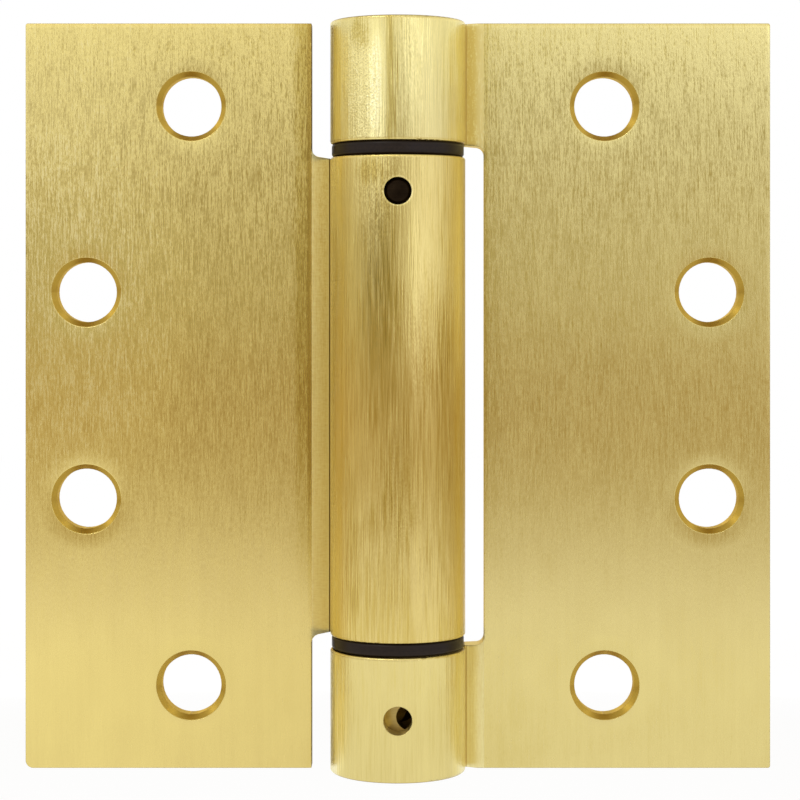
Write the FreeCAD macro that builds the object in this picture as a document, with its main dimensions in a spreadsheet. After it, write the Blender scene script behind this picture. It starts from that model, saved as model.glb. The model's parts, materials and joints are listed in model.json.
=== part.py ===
"""Spring loaded butt hinge, lying open flat, in millimetres.

The hinge axis is Z and the middle of the hinge is the origin. The countersunk faces look towards -Y.
The leaf at +X carries the two end knuckles and the leaf at -X carries the long centre barrel.
"""
import FreeCAD
import Part
import Sketcher
import math
import os

# Driving sizes, in millimetres and degrees
SIZES = {
    # Leaves, rolled from flat sheet
    "leaf_height": 114.3,
    "open_width": 114.3,
    "sheet_thickness": 3.4,
    "closed_gap": 2.4,
    "corner_radius": 0.35,
    "worn_corner_radius": 1.2,
    "edge_round": 0.4,
    # Rolled knuckles
    "knuckle_diameter": 20.64,
    "barrel_ramp_angle": 26.0,
    "knuckle_ramp_angle": 29.0,
    "front_bend_radius": 2.2,
    "back_bend_radius": 1.5,
    "seam_gap": 0.15,
    "knuckle_length": 18.65,
    "cut_clearance": 2.95,
    "cut_rise": 0.4,
    "cut_corner_radius": 1.3,
    # Screw holes
    "screw_hole_diameter": 9.2,
    "countersink_diameter": 10.7,
    "countersink_angle": 82.0,
    "outer_hole_margin": 9.3,
    "inner_hole_margin": 25.4,
    "outer_hole_end": 41.275,
    "inner_hole_end": 12.7,
    # Clearances
    "fit_gap": 0.04,
    "running_gap": 0.06,
    "end_float": 0.05,
    # Bearings
    "flange_inset": 0.22,
    "flange_thickness": 2.0,
    "rim_round": 0.5,
    "journal_diameter": 9.0,
    "cap_gap": 1.15,
    "lower_sleeve_length": 8.0,
    # Anchor spindle and its pin
    "anchor_depth": 14.4,
    "anchor_hole_drop": 5.5,
    "anchor_hole_diameter": 4.15,
    "pin_recess": 0.7,
    "pin_length": 12.5,
    "pin_chamfer": 0.45,
    # Torsion spring
    "wire_width": 2.4,
    "coil_gap": 0.12,
    "spring_side_gap": 0.3,
    "spring_end_gap": 0.15,
    "spigot_length": 8.0,
    "slot_gap": 0.1,
    # Tension plug
    "lock_hole_diameter": 4.3,
    "plug_hole_diameter": 4.0,
    "plug_hole_turn": 15.0,
    "plug_recess": 0.8,
    "hex_width": 4.76,
    "hex_depth": 5.5,
    "turned_chamfer": 0.5,
    # Retaining ring and top plug
    "ring_thickness": 0.9,
    "ring_side_gap": 0.82,
    "groove_depth": 0.5,
    "ring_opening": 4.0,
    "top_plug_length": 5.5,
}


class Dim:
    """A size with its value and the sheet expression that gives it."""

    def __init__(self, value, text):
        self.value = float(value)
        self.text = text

    def __add__(self, other):
        other = as_dim(other)
        return Dim(self.value + other.value, f"({self.text} + {other.text})")

    def __sub__(self, other):
        other = as_dim(other)
        return Dim(self.value - other.value, f"({self.text} - {other.text})")

    def __mul__(self, other):
        other = as_dim(other)
        return Dim(self.value * other.value, f"({self.text} * {other.text})")

    def __truediv__(self, other):
        other = as_dim(other)
        return Dim(self.value / other.value, f"({self.text} / {other.text})")

    def __neg__(self):
        return Dim(-self.value, f"(0 - {self.text})")


def as_dim(number):
    """Return a Dim for a plain number."""
    if isinstance(number, Dim):
        return number
    return Dim(number, repr(float(number)))


# The document and its sheet of sizes
doc = FreeCAD.newDocument("SpringHinge")
sheet = doc.addObject("Spreadsheet::Sheet", "Sizes")
for row, (alias, number) in enumerate(SIZES.items(), start=1):
    sheet.set(f"A{row}", alias)
    sheet.set(f"B{row}", str(number))
    sheet.setAlias(f"B{row}", alias)
doc.recompute()


def size(alias):
    """Return the named size from the sheet."""
    return Dim(SIZES[alias], f"Sizes.{alias}")


# Sizes that several pieces share
thickness = size("sheet_thickness")
outer_radius = size("knuckle_diameter") / 2
bore_radius = outer_radius - thickness
leaf_half = size("leaf_height") / 2
width_half = size("open_width") / 2
leaf_front = size("closed_gap") / 2
leaf_back = leaf_front + thickness
cut_edge = outer_radius + size("cut_clearance")
knuckle_end = leaf_half - size("knuckle_length")
barrel_half = knuckle_end - size("flange_thickness") - size("end_float")
knuckle_middle = (knuckle_end + leaf_half) / 2
fitted_radius = bore_radius - size("fit_gap")
running_radius = bore_radius - size("running_gap")
journal_radius = size("journal_diameter") / 2
bush_radius = journal_radius + size("running_gap")
flange_radius = outer_radius - size("flange_inset")
sleeve_top = leaf_half - size("top_plug_length") - size("cap_gap")
anchor_level = barrel_half - size("anchor_hole_drop")
anchor_end = barrel_half - size("anchor_depth")
ring_bottom = size("lower_sleeve_length") + size("fit_gap") - barrel_half
plug_shoulder = ring_bottom + size("ring_thickness") + size("groove_depth") * 2
wire = size("wire_width")
coil_radius = bore_radius - size("spring_side_gap")
spigot_radius = coil_radius - wire - size("slot_gap")
spring_bottom = plug_shoulder + size("spring_end_gap")
spring_top = anchor_end - size("spring_end_gap")


def bind(feature, name, dim):
    """Set a property of a feature from a size."""
    feature.setExpression(name, dim.text)


def new_body(label):
    """Return an empty body with its label."""
    body = doc.addObject("PartDesign::Body", label)
    body.Label = label
    return body


def origin_feature(body, role):
    """Return one plane or axis of the body's origin."""
    for feature in body.Origin.OriginFeatures:
        if feature.Role == role:
            return feature
    raise RuntimeError(f"no {role} in {body.Label}")


def new_sketch(body, name, plane, offset=None):
    """Return a sketch on an origin plane, moved along its normal by an offset."""
    sketch = body.newObject("Sketcher::SketchObject", name)
    sketch.AttachmentSupport = (origin_feature(body, plane), [""])
    sketch.MapMode = "FlatFace"
    if offset is not None:
        sketch.AttachmentOffset.Base = FreeCAD.Vector(0, 0, offset.value)
        sketch.setExpression("AttachmentOffset.Base.z", offset.text)
    return sketch


def place_point(sketch, geometry, end, x, y):
    """Dimension one point of a sketch from the sketch's origin."""
    for kind, axis, dim in (("DistanceX", -2, x), ("DistanceY", -1, y)):
        if abs(dim.value) < 1e-9:
            sketch.addConstraint(Sketcher.Constraint("PointOnObject", geometry, end, axis))
            continue
        index = sketch.addConstraint(Sketcher.Constraint(kind, -1, 1, geometry, end, dim.value))
        sketch.setExpression(f"Constraints[{index}]", dim.text)


def add_polygon(sketch, corners):
    """Draw a closed outline through dimensioned corners."""
    corners = [(as_dim(x), as_dim(y)) for x, y in corners]
    points = [FreeCAD.Vector(x.value, y.value, 0) for x, y in corners]
    first = sketch.GeometryCount
    count = len(points)
    for i in range(count):
        sketch.addGeometry(Part.LineSegment(points[i], points[(i + 1) % count]), False)
    for i in range(count):
        joint = Sketcher.Constraint("Coincident", first + i, 2, first + (i + 1) % count, 1)
        sketch.addConstraint(joint)
    for i, (x, y) in enumerate(corners):
        place_point(sketch, first + i, 1, x, y)


def add_circle(sketch, x, y, diameter):
    """Draw a dimensioned circle."""
    centre = FreeCAD.Vector(x.value, y.value, 0)
    circle = Part.Circle(centre, FreeCAD.Vector(0, 0, 1), diameter.value / 2)
    geometry = sketch.addGeometry(circle, False)
    index = sketch.addConstraint(Sketcher.Constraint("Diameter", geometry, diameter.value))
    sketch.setExpression(f"Constraints[{index}]", diameter.text)
    place_point(sketch, geometry, 3, x, y)


def add_pad(body, sketch, name, length, symmetric=False):
    """Pad a sketch by a length."""
    pad = body.newObject("PartDesign::Pad", name)
    pad.Profile = sketch
    bind(pad, "Length", length)
    if symmetric:
        pad.SideType = "Symmetric"
    doc.recompute()
    return pad


def add_pocket(body, sketch, name, length=None, reverse=False):
    """Cut a sketch to a depth, or right through both ways, and make sure that it cut something."""
    before = body.Shape.Volume
    pocket = body.newObject("PartDesign::Pocket", name)
    pocket.Profile = sketch
    if length is None:
        pocket.Type = "ThroughAll"
        pocket.SideType = "Symmetric"
    else:
        bind(pocket, "Length", length)
        pocket.Reversed = reverse
    doc.recompute()
    if body.Shape.Volume > before - 1e-6:
        raise RuntimeError(f"{name} cut nothing from {body.Label}")
    return pocket


def add_revolution(body, name, corners):
    """Turn an outline of radius and height pairs about the hinge axis."""
    sketch = new_sketch(body, f"{name}_section", "XZ_Plane")
    add_polygon(sketch, corners)
    turned = body.newObject("PartDesign::Revolution", name)
    turned.Profile = sketch
    turned.ReferenceAxis = (sketch, ["V_Axis"])
    turned.Angle = 360
    doc.recompute()
    return turned


def round_edges(body, name, radius, chosen):
    """Round the edges of the body that a test picks."""
    base = body.Tip
    edges = base.Shape.Edges
    names = [f"Edge{i}" for i, edge in enumerate(edges, start=1) if chosen(edge)]
    fillet = body.newObject("PartDesign::Fillet", name)
    fillet.Base = (base, names)
    bind(fillet, "Radius", radius)
    doc.recompute()
    return fillet


def edge_along_y(x, z):
    """Return a test for the edge that runs front to back at a place on the leaf."""
    def chosen(edge):
        points = [vertex.Point for vertex in edge.Vertexes]
        if len(points) != 2 or abs(points[0].y - points[1].y) < 1:
            return False
        return all(abs(p.x - x) < 1e-3 and abs(p.z - z) < 1e-3 for p in points)
    return chosen


# Section of a leaf and its rolled knuckle
def add_rolled_section(sketch, side, ramp_angle):
    """Draw the sheet's section: flat leaf, ramp to the back, and curl that closes on the ramp."""
    front_bend_radius = size("front_bend_radius")
    back_bend_radius = size("back_bend_radius")
    ramp = math.radians(ramp_angle.value)
    outer = outer_radius.value
    bore = bore_radius.value
    curl_end = math.pi + ramp - math.asin((bore - size("seam_gap").value) / outer)
    origin = FreeCAD.Vector(0, 0, 0)

    def bend_centre(curl_radius, leaf_face, bend):
        y = leaf_face.value + bend.value
        x = (curl_radius + bend.value - y * math.cos(ramp)) / math.sin(ramp)
        return FreeCAD.Vector(side * x, y, 0)

    def point(centre, radius, angle):
        x = radius * math.cos(angle)
        return centre + FreeCAD.Vector(-side * x, radius * math.sin(angle), 0)

    def arc(centre, radius, start, end):
        if side > 0:
            start, end = math.pi - end, math.pi - start
        circle = Part.Circle(centre, FreeCAD.Vector(0, 0, 1), radius)
        return Part.ArcOfCircle(circle, start, end)

    down = -math.pi / 2
    ramp_on_curl = math.pi / 2 + ramp
    front_centre = bend_centre(bore, leaf_front, front_bend_radius)
    back_centre = bend_centre(outer, leaf_back, back_bend_radius)
    edge_x = side * width_half.value
    corner_back = FreeCAD.Vector(edge_x, leaf_back.value, 0)
    corner_front = FreeCAD.Vector(edge_x, leaf_front.value, 0)
    bend_front = point(front_centre, front_bend_radius.value, down)
    bend_back = point(back_centre, back_bend_radius.value, down)
    ramp_front = point(front_centre, front_bend_radius.value, down + ramp)
    ramp_back = point(back_centre, back_bend_radius.value, down + ramp)
    bore_start = point(origin, bore, ramp_on_curl)
    skin_start = point(origin, outer, ramp_on_curl)
    bore_end = point(origin, bore, curl_end)
    skin_end = point(origin, outer, curl_end)
    sketch.addGeometry([
        Part.LineSegment(corner_back, corner_front),
        Part.LineSegment(corner_front, bend_front),
        arc(front_centre, front_bend_radius.value, down, down + ramp),
        Part.LineSegment(ramp_front, bore_start),
        arc(origin, bore, curl_end, ramp_on_curl + 2 * math.pi),
        Part.LineSegment(bore_end, skin_end),
        arc(origin, outer, curl_end, ramp_on_curl + 2 * math.pi),
        Part.LineSegment(skin_start, ramp_back),
        arc(back_centre, back_bend_radius.value, down, down + ramp),
        Part.LineSegment(bend_back, corner_back),
    ], False)
    leaf_end, face, front_bend, front_ramp, bore_arc, end, skin_arc, back_ramp, back_bend, back = range(10)
    first, last = (1, 2) if side < 0 else (2, 1)
    for joint in [
        ("Coincident", leaf_end, 2, face, 1),
        ("Coincident", back, 2, leaf_end, 1),
        ("Coincident", bore_arc, first, end, 1),
        ("Coincident", end, 2, skin_arc, first),
        ("Tangent", face, 2, front_bend, first),
        ("Tangent", front_bend, last, front_ramp, 1),
        ("Tangent", front_ramp, 2, bore_arc, last),
        ("Tangent", skin_arc, last, back_ramp, 1),
        ("Tangent", back_ramp, 2, back_bend, last),
        ("Tangent", back_bend, first, back, 1),
        ("Coincident", bore_arc, 3, -1, 1),
        ("Coincident", skin_arc, 3, -1, 1),
        ("Horizontal", face),
        ("Horizontal", back),
        ("Vertical", leaf_end),
        ("PointOnObject", -1, 1, end),
    ]:
        sketch.addConstraint(Sketcher.Constraint(*joint))
    lean = ramp_angle if side < 0 else as_dim(180) - ramp_angle
    for kind, dim in [
        (("Radius", bore_arc), bore_radius),
        (("Radius", skin_arc), outer_radius),
        (("Radius", front_bend), front_bend_radius),
        (("Radius", back_bend), back_bend_radius),
        (("DistanceX", -1, 1, leaf_end, 1), width_half * side),
        (("DistanceY", -1, 1, leaf_end, 2), leaf_front),
        (("DistanceY", -1, 1, leaf_end, 1), leaf_back),
        (("Distance", end, 2, front_ramp), size("seam_gap")),
    ]:
        index = sketch.addConstraint(Sketcher.Constraint(*kind, dim.value))
        sketch.setExpression(f"Constraints[{index}]", dim.text)
    angle = math.radians(lean.value)
    index = sketch.addConstraint(Sketcher.Constraint("Angle", front_ramp, angle))
    sketch.setExpression(f"Constraints[{index}]", f"{lean.text} * 1 deg")


def add_screw_holes(body, side):
    """Drill and countersink the leaf's four staggered screw holes from its front face."""
    sketch = new_sketch(body, "screw_places", "XZ_Plane", -leaf_front)
    inner_x = (width_half - size("inner_hole_margin")) * side
    outer_x = (width_half - size("outer_hole_margin")) * side
    for x, end in ((inner_x, size("inner_hole_end")), (outer_x, size("outer_hole_end"))):
        level = leaf_half - end
        add_circle(sketch, x, level, size("screw_hole_diameter"))
        add_circle(sketch, x, -level, size("screw_hole_diameter"))
    doc.recompute()
    before = body.Shape.Volume
    hole = body.newObject("PartDesign::Hole", "screw_holes")
    hole.Profile = sketch
    hole.ThreadType = "None"
    hole.DepthType = "ThroughAll"
    hole.HoleCutType = "Countersink"
    hole.HoleCutCustomValues = True
    bind(hole, "Diameter", size("screw_hole_diameter"))
    bind(hole, "HoleCutDiameter", size("countersink_diameter"))
    bind(hole, "HoleCutCountersinkAngle", size("countersink_angle"))
    doc.recompute()
    if body.Shape.Volume > before - 1:
        raise RuntimeError(f"no screw holes in {body.Label}")


def add_front_hole(body, name, level, diameter):
    """Drill a radial hole through the front wall of a knuckle."""
    sketch = new_sketch(body, f"{name}_place", "XZ_Plane")
    add_circle(sketch, as_dim(0), level, diameter)
    return add_pocket(body, sketch, name, outer_radius + 1, reverse=True)


def round_knuckle_ends(body, levels):
    """Round the outer edges of the rolled ends at the given heights."""
    def chosen(edge):
        if edge.Curve.TypeId != "Part::GeomCircle" or abs(edge.Curve.Radius - outer_radius.value) > 1e-4:
            return False
        return any(abs(vertex.Point.z - level) < 1e-4 for vertex in edge.Vertexes for level in levels)
    round_edges(body, "end_rounds", size("edge_round"), chosen)


def round_leaf_corners(body, side, worn_bottom):
    """Round the two outer corners of a leaf."""
    x = side * width_half.value
    z = leaf_half.value
    bottom = size("worn_corner_radius") if worn_bottom else size("corner_radius")
    round_edges(body, "top_corner", size("corner_radius"), edge_along_y(x, z))
    round_edges(body, "bottom_corner", bottom, edge_along_y(x, -z))


def make_knuckle_leaf():
    """Leaf with the top and bottom knuckles, at +X."""
    body = new_body("knuckle_leaf")
    section = new_sketch(body, "rolled_section", "XY_Plane")
    add_rolled_section(section, 1, size("knuckle_ramp_angle"))
    add_pad(body, section, "rolled_sheet", size("leaf_height"), symmetric=True)
    window = new_sketch(body, "barrel_window", "XZ_Plane")
    reach = -outer_radius - 1
    corner = knuckle_end - size("cut_rise")
    add_polygon(window, [
        (reach, -knuckle_end),
        (outer_radius, -knuckle_end),
        (cut_edge, -corner),
        (cut_edge, corner),
        (outer_radius, knuckle_end),
        (reach, knuckle_end),
    ])
    add_pocket(body, window, "barrel_cut")
    for name, z in (("window_top", corner.value), ("window_bottom", -corner.value)):
        round_edges(body, name, size("cut_corner_radius"), edge_along_y(cut_edge.value, z))
    add_screw_holes(body, 1)
    add_front_hole(body, "lock_hole", -knuckle_middle, size("lock_hole_diameter"))
    round_leaf_corners(body, 1, False)
    levels = [leaf_half.value, knuckle_end.value, -knuckle_end.value, -leaf_half.value]
    round_knuckle_ends(body, levels)
    return body


def make_barrel_leaf():
    """Leaf with the long centre barrel, at -X."""
    body = new_body("barrel_leaf")
    section = new_sketch(body, "rolled_section", "XY_Plane")
    add_rolled_section(section, -1, size("barrel_ramp_angle"))
    add_pad(body, section, "rolled_sheet", size("leaf_height"), symmetric=True)
    reach = outer_radius + 1
    corner = barrel_half + size("cut_rise")
    for name, sign in (("top", 1), ("bottom", -1)):
        notch = new_sketch(body, f"{name}_notch", "XZ_Plane")
        add_polygon(notch, [
            (-cut_edge, corner * sign),
            (-outer_radius, barrel_half * sign),
            (reach, barrel_half * sign),
            (reach, (leaf_half + 1) * sign),
            (-cut_edge, (leaf_half + 1) * sign),
        ])
        add_pocket(body, notch, f"{name}_cut")
        chosen = edge_along_y(-cut_edge.value, sign * corner.value)
        round_edges(body, f"{name}_cut_corner", size("cut_corner_radius"), chosen)
    add_screw_holes(body, -1)
    add_front_hole(body, "anchor_hole", anchor_level, size("anchor_hole_diameter"))
    round_leaf_corners(body, -1, True)
    round_knuckle_ends(body, [barrel_half.value, -barrel_half.value])
    return body


def round_flange_rim(body):
    """Round both edges of a bearing's flange."""
    def chosen(edge):
        if edge.Curve.TypeId != "Part::GeomCircle":
            return False
        return abs(edge.Curve.Radius - flange_radius.value) < 1e-4
    round_edges(body, "rim_rounds", size("rim_round"), chosen)


def make_upper_bearing():
    """Flanged bush under the top knuckle, with its sleeve up in the knuckle's bore."""
    body = new_body("upper_bearing")
    bottom = knuckle_end - size("flange_thickness")
    add_revolution(body, "bush", [
        (bush_radius, bottom),
        (flange_radius, bottom),
        (flange_radius, knuckle_end),
        (fitted_radius, knuckle_end),
        (fitted_radius, sleeve_top),
        (bush_radius, sleeve_top),
    ])
    round_flange_rim(body)
    return body


def make_lower_bearing():
    """Flanged bush under the barrel, with its sleeve up in the barrel's bore."""
    body = new_body("lower_bearing")
    bottom = -barrel_half - size("flange_thickness")
    top = size("lower_sleeve_length") - barrel_half
    add_revolution(body, "bush", [
        (bush_radius, bottom),
        (flange_radius, bottom),
        (flange_radius, -barrel_half),
        (fitted_radius, -barrel_half),
        (fitted_radius, top),
        (bush_radius, top),
    ])
    round_flange_rim(body)
    return body


def cut_spigot_slot(body, low, high):
    """Mill the slot for the spring's tang across a spigot."""
    sketch = new_sketch(body, "tang_slot", "XY_Plane", low)
    half = wire / 2 + size("slot_gap")
    reach = spigot_radius + size("slot_gap")
    add_polygon(sketch, [(-reach, -half), (reach, -half), (reach, half), (-reach, half)])
    add_pocket(body, sketch, "slot", high - low, reverse=True)


def make_anchor_spindle():
    """Spindle pinned in the top of the barrel, with a journal above and a slotted spigot below."""
    body = new_body("anchor_spindle")
    chamfer = size("turned_chamfer")
    shoulder = barrel_half - size("end_float") * 2
    top = sleeve_top - size("turned_chamfer")
    tip = anchor_end - size("spigot_length")
    add_revolution(body, "turned", [
        (0, tip),
        (spigot_radius, tip),
        (spigot_radius, anchor_end),
        (fitted_radius - chamfer, anchor_end),
        (fitted_radius, anchor_end + chamfer),
        (fitted_radius, shoulder),
        (journal_radius, shoulder),
        (journal_radius, top - chamfer),
        (journal_radius - chamfer, top),
        (0, top),
    ])
    cut_spigot_slot(body, tip, anchor_end)
    place = new_sketch(body, "pin_place", "XZ_Plane", -size("pin_length") + outer_radius)
    add_circle(place, as_dim(0), anchor_level, size("anchor_hole_diameter"))
    add_pocket(body, place, "pin_hole", size("pin_length"), reverse=True)
    return body


def make_anchor_pin():
    """Dowel that ties the spindle to the barrel, its end a little below the barrel's surface."""
    body = new_body("anchor_pin")
    start = outer_radius - size("pin_recess")
    length = size("pin_length") - size("pin_recess") - size("fit_gap")
    sketch = new_sketch(body, "pin_section", "XZ_Plane", start - length)
    diameter = size("anchor_hole_diameter") - size("fit_gap") * 2
    add_circle(sketch, as_dim(0), anchor_level, diameter)
    add_pad(body, sketch, "dowel", length)
    dowel = body.Tip
    rims = [f"Edge{i}" for i, edge in enumerate(dowel.Shape.Edges, start=1) if edge.isClosed()]
    ends = body.newObject("PartDesign::Chamfer", "end_chamfers")
    ends.Base = (dowel, rims)
    bind(ends, "Size", size("pin_chamfer"))
    doc.recompute()
    return body


def make_torsion_spring():
    """Left-hand square-wire spring with a tang across each end."""
    body = new_body("torsion_spring")
    inner = coil_radius - wire
    section = new_sketch(body, "wire_section", "XZ_Plane")
    add_polygon(section, [
        (inner, spring_bottom),
        (coil_radius, spring_bottom),
        (coil_radius, spring_bottom + wire),
        (inner, spring_bottom + wire),
    ])
    rise = spring_top - spring_bottom - wire
    coil = body.newObject("PartDesign::AdditiveHelix", "coils")
    coil.Profile = section
    coil.ReferenceAxis = (section, ["V_Axis"])
    coil.Mode = "height-turns-angle"
    coil.LeftHanded = True
    bind(coil, "Height", rise)
    coil.setExpression("Turns", f"floor({rise.text} / {(wire + size('coil_gap')).text})")
    doc.recompute()
    for name, low in (("bottom", spring_bottom), ("top", spring_top - wire)):
        tang = new_sketch(body, f"{name}_tang_outline", "XY_Plane", low)
        reach = spigot_radius - size("slot_gap")
        out = coil_radius - wire / 4
        add_polygon(tang, [(-reach, -wire / 2), (out, -wire / 2), (out, wire / 2), (-reach, wire / 2)])
        add_pad(body, tang, f"{name}_tang", wire)
    return body


def make_tension_plug():
    """Adjusting plug in the bottom knuckle, with cross holes, a hex socket, a journal and a spigot."""
    body = new_body("tension_plug")
    chamfer = size("turned_chamfer")
    bottom = size("plug_recess") - leaf_half
    shoulder = -barrel_half - size("flange_thickness") - size("end_float") * 2
    groove = journal_radius - size("groove_depth")
    groove_top = ring_bottom + size("ring_thickness") + size("fit_gap")
    tip = plug_shoulder + size("spigot_length")
    add_revolution(body, "turned", [
        (0, bottom),
        (running_radius - chamfer, bottom),
        (running_radius, bottom + chamfer),
        (running_radius, shoulder),
        (journal_radius, shoulder),
        (journal_radius, ring_bottom),
        (groove, ring_bottom),
        (groove, groove_top),
        (journal_radius, groove_top),
        (journal_radius, plug_shoulder),
        (spigot_radius, plug_shoulder),
        (spigot_radius, tip),
        (0, tip),
    ])
    cut_spigot_slot(body, plug_shoulder, tip)
    socket = new_sketch(body, "hex_outline", "XY_Plane", bottom)
    across = size("hex_width") / 2
    corner = across * (2 / math.sqrt(3))
    add_polygon(socket, [
        (corner, 0),
        (corner / 2, across),
        (-corner / 2, across),
        (-corner, 0),
        (-corner / 2, -across),
        (corner / 2, -across),
    ])
    add_pocket(body, socket, "hex_socket", size("hex_depth"), reverse=True)
    place = new_sketch(body, "cross_hole_place", "XZ_Plane")
    add_circle(place, as_dim(0), -knuckle_middle, size("plug_hole_diameter"))
    turn = size("plug_hole_turn")
    turned = FreeCAD.Rotation(FreeCAD.Vector(0, 1, 0), turn.value)
    place.AttachmentOffset = FreeCAD.Placement(FreeCAD.Vector(0, 0, 0), turned)
    place.setExpression("AttachmentOffset.Rotation.Angle", f"{turn.text} * 1 deg")
    cross = add_pocket(body, place, "cross_hole")
    pattern = body.newObject("PartDesign::PolarPattern", "cross_holes")
    pattern.Originals = [cross]
    pattern.Axis = (origin_feature(body, "Z_Axis"), [""])
    pattern.Angle = 180
    body.Tip = pattern
    pattern.Occurrences = 3
    doc.recompute()
    return body


def make_retaining_ring():
    """Open push-on ring in the groove of the tension plug's journal."""
    body = new_body("retaining_ring")
    sketch = new_sketch(body, "ring_outline", "XY_Plane", ring_bottom)
    inner = journal_radius - size("groove_depth") + size("fit_gap")
    outer = bore_radius - size("ring_side_gap")
    mouth = size("ring_opening") / 2
    normal = FreeCAD.Vector(0, 0, 1)
    for radius in (inner, outer):
        start = -math.acos(mouth.value / radius.value)
        circle = Part.Circle(FreeCAD.Vector(0, 0, 0), normal, radius.value)
        sketch.addGeometry(Part.ArcOfCircle(circle, start, math.pi - start), False)
    for x in (mouth.value, -mouth.value):
        low = FreeCAD.Vector(x, -math.sqrt(inner.value ** 2 - x ** 2), 0)
        high = FreeCAD.Vector(x, -math.sqrt(outer.value ** 2 - x ** 2), 0)
        sketch.addGeometry(Part.LineSegment(low, high), False)
    for joint in [
        ("Coincident", 0, 3, -1, 1),
        ("Coincident", 1, 3, -1, 1),
        ("Coincident", 2, 1, 0, 1),
        ("Coincident", 2, 2, 1, 1),
        ("Coincident", 3, 1, 0, 2),
        ("Coincident", 3, 2, 1, 2),
        ("Vertical", 2),
        ("Vertical", 3),
    ]:
        sketch.addConstraint(Sketcher.Constraint(*joint))
    for kind, dim in [
        (("Radius", 0), inner),
        (("Radius", 1), outer),
        (("DistanceX", -1, 1, 2, 1), mouth),
        (("DistanceX", -1, 1, 3, 1), -mouth),
    ]:
        index = sketch.addConstraint(Sketcher.Constraint(*kind, dim.value))
        sketch.setExpression(f"Constraints[{index}]", dim.text)
    add_pad(body, sketch, "ring", size("ring_thickness"))
    return body


def make_top_plug():
    """Plug that closes the top knuckle, flush with its end."""
    body = new_body("top_plug")
    chamfer = size("turned_chamfer")
    bottom = leaf_half - size("top_plug_length")
    add_revolution(body, "turned", [
        (0, bottom),
        (fitted_radius - chamfer, bottom),
        (fitted_radius, bottom + chamfer),
        (fitted_radius, leaf_half - chamfer),
        (fitted_radius - chamfer, leaf_half),
        (0, leaf_half),
    ])
    return body


pieces = [
    make_knuckle_leaf(),
    make_barrel_leaf(),
    make_upper_bearing(),
    make_lower_bearing(),
    make_anchor_spindle(),
    make_anchor_pin(),
    make_torsion_spring(),
    make_tension_plug(),
    make_retaining_ring(),
    make_top_plug(),
]
doc.recompute()

# Every feature must be sound before the pieces are written
for feature in doc.Objects:
    if "Invalid" in feature.State or "Error" in feature.State:
        raise RuntimeError(f"{feature.Label} failed: {feature.State}")
os.makedirs("parts", exist_ok=True)
for piece in pieces:
    if piece.Shape.isNull() or not piece.Shape.isValid() or len(piece.Shape.Solids) != 1:
        raise RuntimeError(f"{piece.Label} is not one sound solid")
    piece.Shape.exportStep(f"parts/{piece.Label}.step")
    print(piece.Label, round(piece.Shape.Volume, 1), piece.Shape.BoundBox)
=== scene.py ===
"""Looks of the spring loaded butt hinge: brushed satin brass, black bearings, and a soft light tent.

Metres throughout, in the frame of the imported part: Z is the hinge axis and the countersunk faces look to -Y.
"""

import json
import math

import bmesh
import bpy
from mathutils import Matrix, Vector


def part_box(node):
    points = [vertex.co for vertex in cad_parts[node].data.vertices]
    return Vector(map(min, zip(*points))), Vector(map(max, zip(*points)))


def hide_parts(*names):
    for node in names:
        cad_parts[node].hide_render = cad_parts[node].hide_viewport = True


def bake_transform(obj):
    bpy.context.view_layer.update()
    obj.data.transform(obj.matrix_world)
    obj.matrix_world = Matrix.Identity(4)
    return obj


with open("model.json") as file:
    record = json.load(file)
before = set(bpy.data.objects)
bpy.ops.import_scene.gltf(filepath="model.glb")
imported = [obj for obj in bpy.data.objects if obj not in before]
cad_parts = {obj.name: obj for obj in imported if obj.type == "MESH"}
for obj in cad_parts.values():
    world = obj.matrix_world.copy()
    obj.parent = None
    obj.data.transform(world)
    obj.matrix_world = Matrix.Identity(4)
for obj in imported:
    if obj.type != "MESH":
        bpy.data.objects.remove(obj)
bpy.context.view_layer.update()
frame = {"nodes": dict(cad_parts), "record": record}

MM = 0.001

# Places on the hinge, read from the frame
leaf_low, leaf_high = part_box("knuckle_leaf")
LEAF_HALF_HEIGHT = leaf_high.z
LEAF_HALF_WIDTH = leaf_high.x
KNUCKLE_RADIUS = -leaf_low.y
pin_low, pin_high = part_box("anchor_pin")
PIN_LEVEL = (pin_low.z + pin_high.z) / 2
PIN_RADIUS = (pin_high.z - pin_low.z) / 2
SCREW_HOLES = [
    (abs(mount["pos_m"][0]), mount["dims"]["spacing_y_mm"] * MM / 2, mount["dims"]["hole_r_mm"] * MM)
    for mount in frame["record"]["mounts"]
    if mount["kind"] == "bolt_pattern" and mount["pos_m"][0] > 0
]

# Bands beside a knuckle, as distances from the hinge axis, which carry painted shade along the seam and the
# bend and a painted highlight on the lip
CURL_END = KNUCKLE_RADIUS * 1.004
SEAM_START = KNUCKLE_RADIUS + 0.13 * MM
SEAM_END = KNUCKLE_RADIUS + 0.25 * MM
LIP_START = SEAM_END + 0.05 * MM
LIP_END = SEAM_END + 0.35 * MM
MOTTLE_END = SEAM_END + 1.4 * MM
RAMP_END = KNUCKLE_RADIUS + 2.9 * MM
CREASE_START = RAMP_END - 0.15 * MM
CREASE_END = RAMP_END + 0.45 * MM
BEND_END = RAMP_END + 1.6 * MM
NOTCH_REACH = KNUCKLE_RADIUS + 4.5 * MM

# Softness of those bands' edges
SEAM_SOFT = 0.04 * MM
LIP_SOFT = 0.08 * MM
MOTTLE_SOFT = 0.6 * MM
CREASE_SOFT = 0.35 * MM
BEND_SOFT = 1.8 * MM

# Reach of the countersinks, the polished dish round them, the leaf's edges and the pin hole's rim, which gets
# a painted highlight
CONE_REACH = 0.75 * MM
DISH_REACH = CONE_REACH + 2.6 * MM
EDGE_REACH = 0.7 * MM
RIM_REACH = PIN_RADIUS + 0.18 * MM
RIM_SOFT = 0.25 * MM

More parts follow.
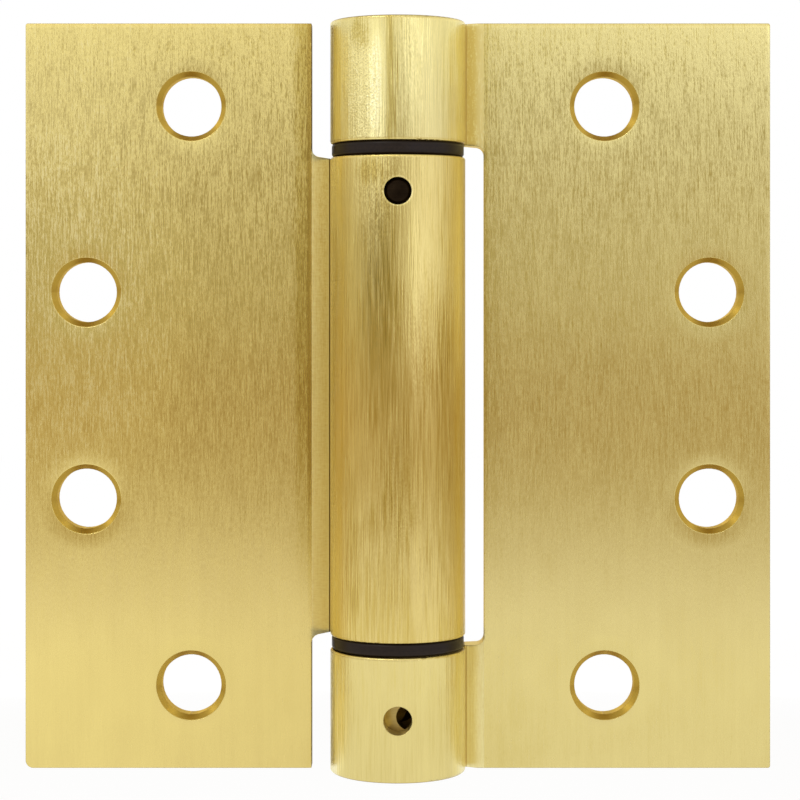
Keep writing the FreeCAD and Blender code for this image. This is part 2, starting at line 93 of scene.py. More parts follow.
# Sizes of the plate's marks, across and along the grain
FINE_HAIRS = (0.17 * MM, 0.8 * MM)
DRAWN_HAIRS = (0.20 * MM, 6.5 * MM)
LANES = (1.1 * MM, 45 * MM)
CLOUDS = (5 * MM, 9 * MM)
CHATTER = (0.26 * MM, 0.9 * MM)
STIPPLE = (0.22 * MM, 0.26 * MM)
NICK_SPACING = 3.6 * MM
LEAF_SHORTENING = 2.0

# Heights of the plate's marks
GRAIN_HEIGHT = 0.011 * MM
LANE_HEIGHT = 0.05 * MM
DRAWN_HEIGHT = 0.032 * MM
CHATTER_HEIGHT = 0.012 * MM
STIPPLE_HEIGHT = 0.012 * MM
DISH_HEIGHT = -0.035 * MM
EDGE_HEIGHT = -0.03 * MM

# Heights and distances over which a plate's finish, its painted shade and its painted highlights change
BEND_SHADE_FADES = (-36 * MM, -2 * MM)
GRAIN_DEEPENS = (-45 * MM, 48 * MM)
CURL_CALMS = (-44 * MM, -30 * MM)
LEAF_PAINTED_LIGHT = (12 * MM, 50 * MM)
STRIP_TILTS = (-50 * MM, 50 * MM)
MOTTLE_GROWS = (0.0, 30 * MM)
FLANK_HIGHLIGHT = (math.radians(52), math.radians(70))

# Rings and blotches on turned metal, and the grain and lines of moulded nylon
RING_SPACING = 0.12 * MM
RING_HEIGHT = 0.003 * MM
BLOTCHES_PER_METRE = (700.0, 700.0, 700.0)
NYLON_GRAINS_PER_METRE = (2600.0, 2600.0, 2600.0)
NYLON_GRAIN_HEIGHT = 0.004 * MM
NYLON_LINES_PER_METRE = (60.0, 60.0, 5200.0)
NYLON_LINE_HEIGHT = 0.012 * MM

# Rounding of edges
PLATE_EDGE = 0.22 * MM
TURNED_EDGE = 0.12 * MM
EDGE_SAMPLES = 4

# Camera, set to the photograph's view
CAMERA_LENS = 102.0
CAMERA_PLACE = (0.33 * MM, -346.8 * MM, 15.3 * MM)
CAMERA_SHIFT = -0.13
CAMERA_NEAR = 0.01

# Studio
FLOOR_LEVEL = -0.30
FLOOR_HALF = 4.0
FLOOR_GLOW = 0.85
TENT_RADIUS = 1.5
LAMP_PLACE = (-0.5, -0.7, 0.9)
LAMP_SIZE = 0.4
LAMP_POWER = 2.0

# Colours, linear
BRASS_STOPS = [
    (0.00, (0.44, 0.310, 0.065)),
    (0.25, (0.60, 0.465, 0.120)),
    (0.50, (0.74, 0.610, 0.220)),
    (0.75, (0.86, 0.725, 0.262)),
    (1.00, (0.97, 0.870, 0.440)),
]
RAMP_BRASS = [(0.15, (0.84, 0.69, 0.26, 1.0)), (0.85, (1.00, 0.90, 0.46, 1.0))]
CUT_BRASS = (0.42, 0.30, 0.085, 1.0)
# Painted light on the notch wall beside the knuckle: painted shade on the barrel leaf, a painted highlight on
# the knuckle leaf
NOTCH_PAINTED_SHADE = (0.13, 0.085, 0.025, 1.0)
NOTCH_PAINTED_HIGHLIGHT = (0.80, 0.62, 0.21, 1.0)
# Darker, deeper brass in the countersinks: painted shade in the recess
CONE_PAINTED_SHADE = (0.62, 0.42, 0.07, 1.0)
# Painted shade along the curl's seam: dark beside the barrel, softer beside the knuckle
SEAM_PAINTED_SHADE = (0.09, 0.04, 0.006, 1.0)
CLOSED_SEAM_PAINTED_SHADE = (0.66, 0.49, 0.18, 1.0)
TURNED_BRASS = ((0.34, 0.235, 0.07, 1.0), (0.62, 0.47, 0.16, 1.0))
BARE_STEEL = ((0.32, 0.32, 0.32, 1.0), (0.55, 0.55, 0.54, 1.0))
BLACKENED_STEEL = ((0.005, 0.003, 0.002, 1.0), (0.030, 0.019, 0.010, 1.0))
SPRING_STEEL = ((0.10, 0.10, 0.105, 1.0), (0.26, 0.26, 0.27, 1.0))
BLACK_NYLON = ((0.006, 0.003, 0.002, 1.0), (0.020, 0.011, 0.006, 1.0))
FLOOR_WHITE = (0.98, 0.98, 0.98, 1.0)
WHITE = (1.0, 1.0, 1.0, 1.0)

# Worn marks and painted highlights, reflections and shade, in millimetres: place across and along the grain,
# half sizes, change of tone
KNUCKLE_WEAR_AND_PAINTED_LIGHT = [
    (-1.1, 47.0, 1.2, 17.0, -0.52),
    (-3.2, 46.0, 1.9, 14.0, 0.76),
    (-7.6, 45.0, 3.4, 14.0, 0.36),
    (-6.0, 54.6, 2.4, 3.0, -0.62),
    (6.0, 50.0, 2.4, 16.0, 0.20),
    (9.6, 47.0, 3.2, 16.0, 0.55),
    (-13.0, -48.0, 5.0, 15.0, 0.80),
    (13.0, -48.0, 5.0, 15.0, 0.50),
]
BARREL_WEAR_AND_PAINTED_LIGHT = [
    (-1.5, -28.0, 9.0, 16.0, -0.30),
    (-1.6, 20.0, 1.8, 18.0, -0.30),
    (0.0, 7.0, 12.0, 14.0, -0.22),
    (7.6, -12.0, 1.8, 44.0, -0.30),
    (-7.6, -26.0, 1.8, 18.0, -0.25),
    (2.3, 15.0, 1.6, 22.0, 0.30),
    (0.4, -9.0, 4.0, 14.0, -0.20),
    (-4.4, 34.2, 2.6, 2.6, -0.55),
    (3.0, -26.0, 1.4, 11.0, 0.45),
    (-12.5, 8.0, 4.0, 46.0, 0.90),
    (12.5, 0.0, 3.0, 46.0, 0.40),
]
# Patches on the leaves: a darker patch low on the knuckle leaf, and painted light on the barrel leaf's outer
# part
KNUCKLE_LEAF_DARK_PATCH = (13.0, -54.0, 12.0, 12.0, -0.10)
BARREL_LEAF_PAINTED_LIGHT = (-50.0, 12.0, 24.0, 36.0, 0.30)
STIPPLED_KNUCKLE = (-6.5, 47.0, 5.0, 13.0, 1.0)
STIPPLED_BARREL = (1.0, -12.0, 4.0, 12.0, 0.2)

# Light on the tent's wall by height, as degrees above the hinge and a colour
TENT_BANDS = [
    (-30.0, (1.02, 0.98, 0.90)),
    (-13.0, (1.06, 1.02, 0.85)),
    (-10.5, (1.12, 1.14, 1.12)),
    (-9.0, (1.03, 1.02, 1.15)),
    (-7.5, (0.88, 0.85, 0.90)),
    (-6.0, (0.70, 0.63, 0.49)),
    (-4.0, (0.60, 0.48, 0.32)),
    (-2.0, (0.58, 0.465, 0.31)),
    (0.0, (0.64, 0.58, 0.43)),
    (2.0, (0.64, 0.60, 0.48)),
    (4.0, (0.62, 0.57, 0.48)),
    (6.0, (0.61, 0.59, 0.56)),
    (7.5, (0.70, 0.69, 0.67)),
    (8.0, (0.74, 0.73, 0.72)),
    (8.5, (0.91, 0.92, 0.95)),
    (8.9, (1.06, 1.10, 1.16)),
    (10.0, (1.10, 1.12, 1.15)),
    (20.0, (1.08, 1.05, 1.00)),
    (45.0, (0.92, 0.91, 0.89)),
    (90.0, (0.86, 0.86, 0.85)),
]
BAND_LOW = TENT_BANDS[0][0]
BAND_HIGH = TENT_BANDS[-1][0]

# Soft lights on the tent's wall: bearing, height and half widths in degrees, and the colour that they add
TENT_LIGHTS = [
    (35.0, 0.8, 31.0, 4.3, (0.55, 0.63, 0.98)),
    (-47.0, 6.3, 48.0, 3.9, (1.00, 1.14, 1.65)),
    (27.0, 9.4, 20.0, 6.4, (1.08, 1.24, 1.80)),
    (58.0, 4.1, 48.0, 7.5, (0.57, 0.64, 0.95)),
    (-110.0, -2.0, 45.0, 14.0, (0.26, 0.26, 0.25)),
    (115.0, 0.0, 45.0, 14.0, (0.16, 0.16, 0.16)),
]

# Soft shades on the tent's wall: bearing, height and half widths in degrees, and the share of light they take
TENT_SHADES = [
    (-38.0, 1.8, 30.0, 3.7, 0.66),
    (-7.0, 1.5, 13.0, 6.0, 0.18),
    (-4.0, -4.0, 18.0, 6.0, 0.16),
]


class Graph:
    """Short calls that build a node tree."""

    def __init__(self, tree):
        self.tree = tree
        tree.nodes.clear()

    def put(self, socket, value):
        """Link a socket, or set its value."""
        if isinstance(value, bpy.types.NodeSocket):
            self.tree.links.new(value, socket)
        else:
            socket.default_value = value

    def node(self, kind, settings=None, inputs=None):
        """Add a node with its settings and inputs."""
        made = self.tree.nodes.new(kind)
        for name, value in (settings or {}).items():
            setattr(made, name, value)
        for name, value in (inputs or {}).items():
            self.put(made.inputs[name], value)
        return made

    def math(self, operation, *values):
        """Add a Math node and return its result."""
        made = self.node("ShaderNodeMath", {"operation": operation})
        for socket, value in zip(made.inputs, values):
            self.put(socket, value)
        return made.outputs[0]

    def vector(self, operation, *values):
        """Add a Vector Math node and return its vector."""
        made = self.node("ShaderNodeVectorMath", {"operation": operation})
        for socket, value in zip(made.inputs, values):
            self.put(socket, value)
        return made.outputs["Vector"]

    def total(self, values):
        """Add up a list of numbers."""
        result = values[0]
        for value in values[1:]:
            result = self.math("ADD", result, value)
        return result

    def times(self, *values):
        """Multiply numbers."""
        result = values[0]
        for value in values[1:]:
            result = self.math("MULTIPLY", result, value)
        return result

    def squares(self, first, second):
        """Return the sum of two squares."""
        return self.math("ADD", self.times(first, first), self.times(second, second))

    def distance(self, first, second):
        """Return the length across two sides at right angles."""
        return self.math("SQRT", self.squares(first, second))

    def bearing(self, x, y):
        """Return the turn about the hinge axis, from the front towards +X."""
        return self.math("ARCTAN2", x, self.times(y, -1.0))

    def spread(self, value, low, high, to_low, to_high, smooth=False):
        """Map a value from one range to another, and hold it at the ends."""
        kind = "SMOOTHSTEP" if smooth else "LINEAR"
        made = self.node("ShaderNodeMapRange", {"interpolation_type": kind})
        for socket, number in zip(made.inputs, (value, low, high, to_low, to_high)):
            self.put(socket, number)
        return made.outputs["Result"]

    def swing(self, noise, change):
        """Turn noise into a change up or down."""
        return self.spread(noise, 0.25, 0.75, -change, change)

    def rise(self, noise, height):
        """Turn noise into a height."""
        return self.spread(noise, 0.2, 0.8, 0.0, height)

    def within(self, value, low, high, soft):
        """Return 1 between two places, falling to 0 over a soft margin outside them."""
        rise = self.spread(value, low - soft, low, 0.0, 1.0, smooth=True)
        fall = self.spread(value, high, high + soft, 1.0, 0.0, smooth=True)
        return self.times(rise, fall)

    def choose(self, factor, first, second):
        """Mix two numbers by a factor."""
        made = self.node("ShaderNodeMix", {"data_type": "FLOAT"})
        for index, value in ((0, factor), (2, first), (3, second)):
            self.put(made.inputs[index], value)
        return made.outputs[0]

    def tint(self, factor, first, second):
        """Mix two colours by a factor."""
        made = self.node("ShaderNodeMix", {"data_type": "RGBA"})
        for index, value in ((0, factor), (6, first), (7, second)):
            self.put(made.inputs[index], value)
        return made.outputs[2]

    def ramp(self, value, stops):
        """Colour a value by a list of places and colours."""
        made = self.node("ShaderNodeValToRGB", inputs={"Fac": value})
        elements = made.color_ramp.elements
        while len(elements) > 1:
            elements.remove(elements[0])
        for index, (place, colour) in enumerate(stops):
            stop = elements[0] if index == 0 else elements.new(place)
            stop.position = place
            stop.color = colour
        return made.outputs["Color"]

    def noise(self, vector, detail=2.0, roughness=0.5):
        """Noise of unit size at a place."""
        inputs = {"Vector": vector, "Scale": 1.0, "Detail": detail, "Roughness": roughness}
        return self.node("ShaderNodeTexNoise", inputs=inputs).outputs[0]

    def bumped(self, height, edge=None):
        """Return a normal with a height on it, and rounded edges if they have a radius."""
        inputs = {"Strength": 1.0, "Distance": 1.0, "Height": height}
        if edge:
            rounded = self.node("ShaderNodeBevel", {"samples": EDGE_SAMPLES}, {"Radius": edge})
            inputs["Normal"] = rounded.outputs[0]
        return self.node("ShaderNodeBump", inputs=inputs).outputs[0]

    def mixed(self, factor, first, second):
        """Mix two shaders by a factor."""
        made = self.node("ShaderNodeMixShader", inputs={"Fac": factor})
        self.put(made.inputs[1], first.outputs[0])
        self.put(made.inputs[2], second.outputs[0])
        return made


def new_material(name):
    """Return an empty material and its graph."""
    material = bpy.data.materials.new(name)
    material.use_nodes = True
    return material, Graph(material.node_tree)


def finish_material(graph, shader):
    """Send a shader to the surface."""
    graph.node("ShaderNodeOutputMaterial", inputs={"Surface": shader.outputs[0]})


def new_object(name, data):
    """Add an object to the scene."""
    made = bpy.data.objects.new(name, data)
    bpy.context.collection.objects.link(made)
    return made


def object_place(graph):
    """Return the point on the part."""
    return graph.node("ShaderNodeTexCoord").outputs["Object"]


def split(graph, vector):
    """Return the x, y and z of a vector."""
    return graph.node("ShaderNodeSeparateXYZ", inputs={"Vector": vector}).outputs


def streaks(graph, across, along, size, seed, detail=2.0):
    """Noise drawn out along the grain."""
    width, length = size
    columns = graph.math("DIVIDE", across, width)
    rows = graph.math("DIVIDE", along, length)
    vector = graph.node("ShaderNodeCombineXYZ", inputs={"X": columns, "Y": rows, "Z": seed})
    return graph.noise(vector.outputs[0], detail)


def hole_gap(graph, x, z):
    """Return the distance from the nearest screw hole's edge."""
    side = graph.math("ABSOLUTE", x)
    level = graph.math("ABSOLUTE", z)
    gaps = []
    for hole_x, hole_z, radius in SCREW_HOLES:
        across = graph.math("SUBTRACT", side, hole_x)
        along = graph.math("SUBTRACT", level, hole_z)
        gaps.append(graph.math("SUBTRACT", graph.distance(across, along), radius))
    return graph.math("MINIMUM", *gaps)


def edge_fall(graph, x, z):
    """Return the polished fall-off of the flat face close to the leaf's outer edges."""
    falls = []
    for place, edge in ((x, LEAF_HALF_WIDTH), (z, LEAF_HALF_HEIGHT)):
        near = graph.spread(graph.math("ABSOLUTE", place), edge - EDGE_REACH, edge, 0.0, 1.0)
        falls.append(graph.times(near, near, EDGE_HEIGHT))
    return graph.total(falls)


def pin_rim_highlight(graph, x, y, z):
    """Return 1 on the rim of the pin's hole, in the front of the barrel, where a painted highlight goes."""
    above = graph.math("SUBTRACT", z, PIN_LEVEL)
    rim = graph.within(graph.distance(x, above), PIN_RADIUS, RIM_REACH, RIM_SOFT)
    return graph.times(rim, graph.math("LESS_THAN", y, 0.0))


def patches(graph, across, along, marks, ragged=0.0):
    """Add up soft patches: place across and along the grain, half sizes, and the change in the middle."""
    changes = []
    for at_across, at_along, half_across, half_along, change in marks:
        aside = graph.math("DIVIDE", graph.math("SUBTRACT", across, at_across * MM), half_across * MM)
        above = graph.math("DIVIDE", graph.math("SUBTRACT", along, at_along * MM), half_along * MM)
        reach = graph.math("ADD", graph.squares(aside, above), ragged)
        changes.append(graph.spread(reach, 0.0, 1.0, change, 0.0, smooth=True))
    return graph.total(changes)


def brushed_brass(
        name, seed, brushed, outer_painted_light, green, blue, seam_shade_colour, notch_painted_light,
        bend_shade, strip_tilt, strip_grain, marks, leaf_patch, stippled_place):
    """Satin brass plate, brushed along the hinge axis."""
    material, graph = new_material(name)
    x, y, z = split(graph, object_place(graph))
    side = graph.math("ABSOLUTE", x)
    geometry = graph.node("ShaderNodeNewGeometry").outputs
    faces = split(graph, geometry["True Normal"])

    # Distance across the vertical grain: along x on a leaf, and round the curl on a knuckle
    turn = graph.bearing(x, y)
    on_leaf = graph.math("GREATER_THAN", side, CURL_END)
    on_curl = graph.math("SUBTRACT", 1.0, on_leaf)
    across = graph.choose(on_leaf, graph.times(turn, KNUCKLE_RADIUS), x)

    # Strip between leaf and knuckle, with painted shade along the curl's seam, a painted highlight on its lip,
    # and painted shade along the bend beside it
    front = graph.math("LESS_THAN", faces[1], -0.5)
    ramp = graph.times(on_leaf, front, graph.math("LESS_THAN", side, RAMP_END))
    seam = graph.times(ramp, graph.within(side, SEAM_START, SEAM_END, SEAM_SOFT))
    lip_highlight = graph.times(ramp, graph.within(side, LIP_START, LIP_END, LIP_SOFT))
    bend_shade_band = graph.within(side, RAMP_END, BEND_END, BEND_SOFT)
    crease_shade = graph.within(side, CREASE_START, CREASE_END, CREASE_SOFT)
    bend_shade_fade = graph.spread(z, *BEND_SHADE_FADES, 0.0, -1.2 * bend_shade)

    # Countersinks, cut edges, the knuckle's notch, and the flanks of the curl, which get a painted highlight
    gap = hole_gap(graph, x, z)
    cone = graph.math("LESS_THAN", gap, CONE_REACH)
    dish = graph.spread(gap, CONE_REACH, DISH_REACH, 1.0, 0.0)
    upright = graph.times(graph.math("LESS_THAN", graph.math("ABSOLUTE", faces[1]), 0.35), on_leaf)
    end_face = graph.math("GREATER_THAN", graph.math("ABSOLUTE", faces[2]), 0.7)
    cut = graph.math("MAXIMUM", upright, end_face)
    notch = graph.times(upright, graph.math("LESS_THAN", side, NOTCH_REACH))
    flank_highlight = graph.times(on_curl, graph.spread(graph.math("ABSOLUTE", turn), *FLANK_HIGHLIGHT, 0.0, 1.0))

    # Grain, which is deeper towards the top of a leaf
    along = graph.times(z, graph.choose(on_leaf, 1.0, LEAF_SHORTENING))
    fine = streaks(graph, across, z, FINE_HAIRS, seed, 1.0)
    drawn = streaks(graph, across, along, DRAWN_HAIRS, seed + 31.7)
    lanes = streaks(graph, across, z, LANES, seed + 7.3)
    clouds = streaks(graph, across, z, CLOUDS, seed + 19.1)
    chatter = streaks(graph, z, x, CHATTER, seed + 3.9)
    stipple = streaks(graph, across, z, STIPPLE, seed + 23.5, 1.0)
    depth = graph.spread(z, *GRAIN_DEEPENS, 0.10, brushed)
    hairs = graph.math("ADD", graph.swing(fine, 0.6), graph.swing(drawn, 0.85))
    grain = graph.times(hairs, depth)

    # Wear, with painted highlights, reflections and shade on the curls and painted light on the barrel leaf
    stippled = graph.times(on_curl, patches(graph, across, z, [stippled_place]))
    calm = graph.times(on_curl, graph.spread(z, *CURL_CALMS, 0.6, 1.0))
    ragged = graph.spread(drawn, 0.2, 0.8, -0.6, 0.6)
    curl_wear_and_painted_light = patches(graph, across, z, marks, ragged)
    wear_and_painted_light = graph.choose(on_leaf, curl_wear_and_painted_light, patches(graph, across, z, [leaf_patch]))
    dots = graph.node("ShaderNodeTexVoronoi", {"feature": "F1"}, {"Scale": 1.0 / NICK_SPACING})
    nicks = graph.spread(dots.outputs["Distance"], 0.024, 0.042, 1.0, 0.0)

    # Colour of the plate
    tone = graph.total([
        graph.math("MULTIPLY_ADD", grain, on_leaf, 0.5),
        graph.times(graph.swing(drawn, 0.32), calm),
        graph.times(graph.swing(stipple, 0.5), stippled),
        # Painted highlight on the curl's flanks
        graph.times(flank_highlight, 0.45),
        # Wear, with painted highlights, reflections and shade
        wear_and_painted_light,
        # Painted light: the plate lighter towards its outer edge
        graph.spread(side, *LEAF_PAINTED_LIGHT, 0.0, outer_painted_light),
        graph.spread(lanes, 0.3, 0.7, -0.04, 0.04),
        graph.spread(clouds, 0.3, 0.7, -0.06, 0.06),
        # Painted shade along the bend beside the strip, deeper in its crease, fading out towards the bottom of
        # the plate
        graph.times(graph.math("MULTIPLY_ADD", crease_shade, 1.4, bend_shade_band), bend_shade_fade),
        graph.times(nicks, 0.7),
        # Painted highlight on the rim of the pin's hole
        graph.times(pin_rim_highlight(graph, x, y, z), 0.6),
    ])
    shades = [(place, (rgb[0], rgb[1] * green, rgb[2] * blue, 1.0)) for place, rgb in BRASS_STOPS]
    colour = graph.ramp(graph.spread(tone, -0.5, 1.5, 0.0, 1.0), shades)

    # Colour of the strip with a painted highlight on the seam's lip, the cut edges, painted light on the notch
    # wall, painted shade in the countersinks, and painted shade along the seam
    tilt = graph.spread(z, *STRIP_TILTS, *strip_tilt)
    strip = graph.choose(strip_grain, chatter, graph.math("MULTIPLY_ADD", grain, 2.4, 0.5))
    beside = graph.within(side, SEAM_END, MOTTLE_END, MOTTLE_SOFT)
    upper = graph.spread(z, *MOTTLE_GROWS, 0.0, strip_grain)
    mottle = graph.times(beside, upper, graph.spread(stipple, 0.25, 0.75, -0.8, 0.5))
    strip_tone = graph.total([graph.math("MULTIPLY_ADD", lip_highlight, 0.25, strip), tilt, mottle])
    colour = graph.tint(ramp, colour, graph.ramp(strip_tone, RAMP_BRASS))
    colour = graph.tint(cut, colour, CUT_BRASS)
    colour = graph.tint(notch, colour, notch_painted_light)
    colour = graph.tint(cone, colour, CONE_PAINTED_SHADE)
    colour = graph.tint(seam, colour, seam_shade_colour)

    # Roughness
    rough_leaf = graph.spread(grain, -0.40, 0.40, 0.04, 0.42)
    rough_curl = graph.spread(drawn, 0.22, 0.78, 0.09, 0.29)
    roughness = graph.choose(on_leaf, rough_curl, rough_leaf)
    roughness = graph.choose(graph.math("MAXIMUM", ramp, cut), roughness, 0.42)
    roughness = graph.choose(cone, roughness, 0.5)

    # Relief
    height = graph.total([
        graph.times(grain, GRAIN_HEIGHT),
        graph.times(graph.rise(lanes, LANE_HEIGHT), on_curl),
        graph.times(graph.rise(drawn, DRAWN_HEIGHT), on_curl),
        graph.times(graph.rise(chatter, CHATTER_HEIGHT * (1.0 - strip_grain)), ramp),
        graph.times(graph.rise(stipple, STIPPLE_HEIGHT), stippled),
        graph.times(dish, dish, DISH_HEIGHT),
        edge_fall(graph, x, z),
    ])
    shader = graph.node("ShaderNodeBsdfPrincipled", inputs={
        "Base Color": colour,
        "Metallic": 1.0,
        "Roughness": roughness,
        "Anisotropic": 0.95,
        "Tangent": graph.vector("CROSS_PRODUCT", geometry["Normal"], (0.02, 0.01, 1.0)),
        "Normal": graph.bumped(height, PLATE_EDGE),
    })
    finish_material(graph, shader)
    return material


def turned_metal(name, colours, roughness, seed):
    """Lathe-turned metal with fine rings round its axis."""
    material, graph = new_material(name)
    place = object_place(graph)
    x, y, z = split(graph, place)
    rings = graph.math("DIVIDE", graph.math("ADD", graph.distance(x, y), z), RING_SPACING)
    vector = graph.node("ShaderNodeCombineXYZ", inputs={"X": rings, "Y": seed})
    lines = graph.noise(vector.outputs[0], 3.0, 0.6)
    blotch = graph.noise(graph.vector("MULTIPLY", place, BLOTCHES_PER_METRE), 4.0, 0.6)
    tone = graph.total([graph.spread(lines, 0.3, 0.7, 0.0, 0.5), graph.spread(blotch, 0.3, 0.7, 0.0, 0.5)])
    dark, light = colours
    shader = graph.node("ShaderNodeBsdfPrincipled", inputs={
        "Base Color": graph.ramp(tone, [(0.0, dark), (1.0, light)]),
        "Metallic": 1.0,
        "Roughness": graph.spread(blotch, 0.3, 0.7, roughness - 0.05, roughness + 0.08),
        "Normal": graph.bumped(graph.rise(lines, RING_HEIGHT), TURNED_EDGE),
    })
    finish_material(graph, shader)
    return material


def black_nylon():
    """Moulded black nylon with faint turning lines and dust."""
    material, graph = new_material("black_nylon")
    place = object_place(graph)
    grain = graph.noise(graph.vector("MULTIPLY", place, NYLON_GRAINS_PER_METRE), 3.0, 0.6)
    lines = graph.noise(graph.vector("MULTIPLY", place, NYLON_LINES_PER_METRE), 2.0, 0.5)
    tone = graph.total([graph.spread(grain, 0.3, 0.7, 0.0, 0.5), graph.spread(lines, 0.3, 0.7, 0.0, 0.5)])
    dark, light = BLACK_NYLON
    height = graph.total([graph.rise(grain, NYLON_GRAIN_HEIGHT), graph.rise(lines, NYLON_LINE_HEIGHT)])
    shader = graph.node("ShaderNodeBsdfPrincipled", inputs={
        "Base Color": graph.ramp(tone, [(0.0, dark), (1.0, light)]),
        "Roughness": graph.spread(grain, 0.3, 0.7, 0.28, 0.44),
        "Specular IOR Level": 0.2,
        "Normal": graph.bumped(height),
    })
    finish_material(graph, shader)
    return material


def dress(material, *nodes):
    """Give nodes of the part a material."""
    for node in nodes:
        mesh = frame["nodes"][node].data
        mesh.materials.clear()
        mesh.materials.append(material)


def dress_hinge():
    """Give every piece of the hinge its material."""
    knuckle_brass = brushed_brass(
        "satin_brass_knuckle_leaf", seed=3.0, brushed=0.36, outer_painted_light=0.02, green=1.01, blue=1.10,
        seam_shade_colour=CLOSED_SEAM_PAINTED_SHADE, notch_painted_light=NOTCH_PAINTED_HIGHLIGHT,
        bend_shade=0.15, strip_tilt=(0.06, -0.40), strip_grain=0.75,
        marks=KNUCKLE_WEAR_AND_PAINTED_LIGHT, leaf_patch=KNUCKLE_LEAF_DARK_PATCH, stippled_place=STIPPLED_KNUCKLE)
    barrel_brass = brushed_brass(
        "satin_brass_barrel_leaf", seed=41.0, brushed=0.48, outer_painted_light=0.30, green=0.965, blue=0.93,
        seam_shade_colour=SEAM_PAINTED_SHADE, notch_painted_light=NOTCH_PAINTED_SHADE,
        bend_shade=0.5, strip_tilt=(0.0, 0.0), strip_grain=0.3,
        marks=BARREL_WEAR_AND_PAINTED_LIGHT, leaf_patch=BARREL_LEAF_PAINTED_LIGHT, stippled_place=STIPPLED_BARREL)
    dress(knuckle_brass, "knuckle_leaf")
    dress(barrel_brass, "barrel_leaf")
    dress(turned_metal("turned_brass", TURNED_BRASS, 0.34, 5.0), "tension_plug", "top_plug")
    dress(black_nylon(), "upper_bearing", "lower_bearing")
    dress(turned_metal("bare_steel", BARE_STEEL, 0.32, 9.0), "anchor_spindle")
    dress(turned_metal("blackened_steel", BLACKENED_STEEL, 0.40, 2.0), "anchor_pin")
    dress(turned_metal("spring_steel", SPRING_STEEL, 0.38, 13.0), "torsion_spring", "retaining_ring")


def make_wound_spring():
    """Copy of the spring as its own object, with the part's spring hidden."""
    mesh = frame["nodes"]["torsion_spring"].data.copy()
    mesh.name = "wound_spring"
    spring = new_object("wound_spring", mesh)
    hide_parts("torsion_spring")
    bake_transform(spring)


def make_world():
    """Plain white background."""
    world = bpy.data.worlds.new("studio")
    bpy.context.scene.world = world
    world.use_nodes = True
    graph = Graph(world.node_tree)
    light = graph.node("ShaderNodeBackground", inputs={"Color": WHITE, "Strength": 1.0})
    graph.node("ShaderNodeOutputWorld", inputs={"Surface": light.outputs[0]})


def background_ray(graph):
    """Return 1 for rays that should see the white background."""
    path = graph.node("ShaderNodeLightPath").outputs
    seen = graph.math("MAXIMUM", path["Is Camera Ray"], path["Is Glossy Ray"])
    return graph.math("MAXIMUM", seen, path["Is Transmission Ray"])


def make_floor():
    """Plain pale floor well below the hinge, which keeps its shadow and is clear from underneath."""
    mesh = bpy.data.meshes.new("floor")
    turns = ((-1, -1), (1, -1), (1, 1), (-1, 1))
    corners = [(right * FLOOR_HALF, back * FLOOR_HALF, FLOOR_LEVEL) for right, back in turns]
    mesh.from_pydata(corners, [], [(0, 1, 2, 3)])
    floor = new_object("floor", mesh)
    material, graph = new_material("pale_floor")
    matte = graph.node("ShaderNodeBsdfDiffuse", inputs={"Color": FLOOR_WHITE})
    glow = graph.node("ShaderNodeEmission", inputs={"Color": WHITE, "Strength": 1.0})
    above = graph.mixed(graph.times(background_ray(graph), FLOOR_GLOW), matte, glow)
    clear = graph.node("ShaderNodeBsdfTransparent")
    underside = graph.node("ShaderNodeNewGeometry").outputs["Backfacing"]
    finish_material(graph, graph.mixed(underside, above, clear))
    material.use_transparent_shadow = False
    mesh.materials.append(material)


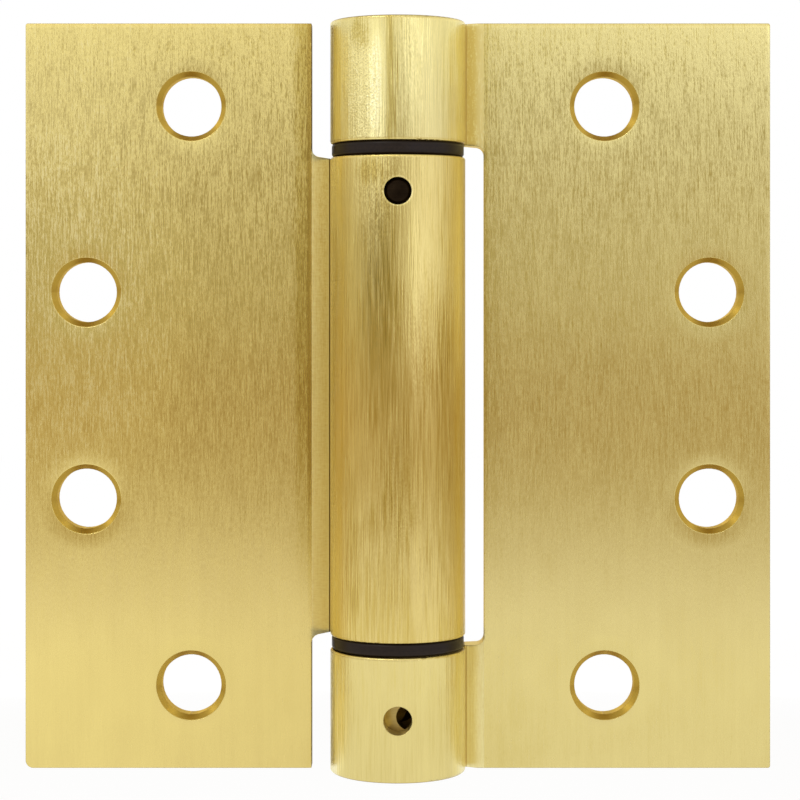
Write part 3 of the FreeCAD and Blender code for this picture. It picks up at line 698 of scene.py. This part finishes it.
def make_tent():
    """Cloth tent round the hinge, lit in soft bands, which the camera looks through."""
    mesh = bpy.data.meshes.new("light_tent")
    ball = bmesh.new()
    bmesh.ops.create_uvsphere(ball, u_segments=64, v_segments=48, radius=TENT_RADIUS)
    ball.to_mesh(mesh)
    ball.free()
    tent = new_object("light_tent", mesh)
    material, graph = new_material("tent_cloth")
    x, y, z = split(graph, object_place(graph))
    height = graph.times(graph.math("ARCTAN2", z, graph.distance(x, y)), math.degrees(1.0))
    bearing = graph.times(graph.bearing(x, y), math.degrees(1.0))

    def fade(at_bearing, at_height, half_bearing, half_height):
        """Return 1 in the middle of a soft patch, and 0 outside it."""
        aside = graph.math("DIVIDE", graph.math("SUBTRACT", bearing, at_bearing), half_bearing)
        above = graph.math("DIVIDE", graph.math("SUBTRACT", height, at_height), half_height)
        return graph.spread(graph.distance(aside, above), 0.0, 1.0, 1.0, 0.0, smooth=True)

    # Bands of light, less the shades, plus the lights
    span = BAND_HIGH - BAND_LOW
    stops = [((level - BAND_LOW) / span, (*rgb, 1.0)) for level, rgb in TENT_BANDS]
    bands = graph.ramp(graph.spread(height, BAND_LOW, BAND_HIGH, 0.0, 1.0), stops)
    strength = 1.0
    for *spot, share in TENT_SHADES:
        kept = graph.math("MULTIPLY_ADD", fade(*spot), -share, 1.0)
        strength = graph.times(kept, strength)
    glow = graph.node("ShaderNodeEmission", inputs={"Color": bands, "Strength": strength})
    for *spot, rgb in TENT_LIGHTS:
        more = graph.node("ShaderNodeEmission", inputs={"Color": (*rgb, 1.0), "Strength": fade(*spot)})
        both = graph.node("ShaderNodeAddShader")
        graph.put(both.inputs[0], glow.outputs[0])
        graph.put(both.inputs[1], more.outputs[0])
        glow = both
    finish_material(graph, glow)
    mesh.materials.append(material)
    tent.visible_camera = False
    tent.visible_shadow = False


def make_lamp():
    """Soft lamp that faces the hinge."""
    lamp = bpy.data.lights.new("key_lamp", "AREA")
    lamp.shape = "DISK"
    lamp.size = LAMP_SIZE
    lamp.energy = LAMP_POWER
    holder = new_object("key_lamp", lamp)
    holder.location = LAMP_PLACE
    holder.rotation_euler = (-holder.location).to_track_quat("-Z", "Y").to_euler()


def make_camera():
    """Camera that looks level along +Y, with the photograph's framing."""
    camera = bpy.data.cameras.new("camera")
    camera.lens = CAMERA_LENS
    camera.shift_y = CAMERA_SHIFT
    camera.clip_start = CAMERA_NEAR
    holder = new_object("camera", camera)
    holder.location = CAMERA_PLACE
    holder.rotation_euler = (math.radians(90), 0.0, 0.0)
    bpy.context.scene.camera = holder


dress_hinge()
make_wound_spring()
make_world()
make_floor()
make_tent()
make_lamp()
make_camera()
bpy.context.scene.view_settings.view_transform = "Standard"
